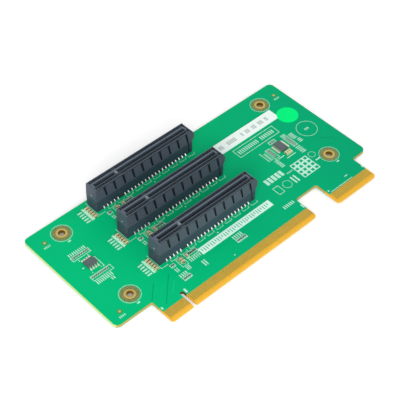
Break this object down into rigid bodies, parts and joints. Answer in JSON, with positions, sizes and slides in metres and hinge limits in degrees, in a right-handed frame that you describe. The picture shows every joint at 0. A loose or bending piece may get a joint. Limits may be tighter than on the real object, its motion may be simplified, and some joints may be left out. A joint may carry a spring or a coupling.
{
  "type": "riser card",
  "caption": "Flat green riser card with a keyed gold edge tab and a smaller side tab, carrying upright black card slots, small chip parts and plated mounting holes at its corners.",
  "frame": {"origin": "centre of the key notch at the tip of the main edge tab, at half the board's thickness", "axes": "+X along the board towards the second tab, +Y from the gold edge towards the back edge, +Z out of the side that carries the slots"},
  "size_m": [0.1496, 0.076, 0.0157],
  "materials": {
    "board_laminate": "green solder mask over a woven glass laminate, amber at its cut edges",
    "gold_plate": "thin gold over nickel",
    "slot_plastic": "moulded glass-filled polyester, satin",
    "contact_alloy": "plated spring alloy",
    "tin_solder": "bright tin",
    "tan_ceramic": "fired ceramic, matt",
    "dark_ceramic": "dark glaze over alumina",
    "mould_compound": "moulded epoxy, fine matt",
    "white_ink": "printed epoxy ink",
    "label_paper": "coated paper",
    "green_film": "glossy film"
  },
  "bodies": {
    "root": {"aux_fingers_bottom": "gold_plate", "aux_fingers_top": "gold_plate", "circuit_board": "board_laminate", "edge_fingers_bottom": "gold_plate", "edge_fingers_top": "gold_plate", "fiducial_pads": "gold_plate", "front_resistor_bodies": "dark_ceramic", "front_resistor_terminals": "tin_solder", "inspection_sticker": "green_film", "left_chip_body": "mould_compound", "left_chip_leads": "tin_solder", "left_chip_resistor_bodies": "dark_ceramic", "left_chip_resistor_terminals": "tin_solder", "mounting_hole_platings": "gold_plate", "right_chip_body": "mould_compound", "right_chip_capacitor_bodies": "tan_ceramic", "right_chip_capacitor_terminals": "tin_solder", "right_chip_leads": "tin_solder", "right_chip_resistor_bodies": "dark_ceramic", "right_chip_resistor_terminals": "tin_solder", "serial_label": "label_paper", "silkscreen": "white_ink", "slot_1_capacitor_bodies": "tan_ceramic", "slot_1_capacitor_terminals": "tin_solder", "slot_1_contacts_back": "contact_alloy", "slot_1_contacts_front": "contact_alloy", "slot_1_housing": "slot_plastic", "slot_1_resistor_bodies": "dark_ceramic", "slot_1_resistor_terminals": "tin_solder", "slot_1_solder_joints": "tin_solder", "slot_2_capacitor_bodies": "tan_ceramic", "slot_2_capacitor_terminals": "tin_solder", "slot_2_contacts_back": "contact_alloy", "slot_2_contacts_front": "contact_alloy", "slot_2_housing": "slot_plastic", "slot_2_resistor_bodies": "dark_ceramic", "slot_2_resistor_terminals": "tin_solder", "slot_2_solder_joints": "tin_solder", "slot_3_capacitor_bodies": "tan_ceramic", "slot_3_capacitor_terminals": "tin_solder", "slot_3_contacts_back": "contact_alloy", "slot_3_contacts_front": "contact_alloy", "slot_3_housing": "slot_plastic", "slot_3_resistor_bodies": "dark_ceramic", "slot_3_resistor_terminals": "tin_solder", "slot_3_solder_joints": "tin_solder"}
  },
  "joints": []
}
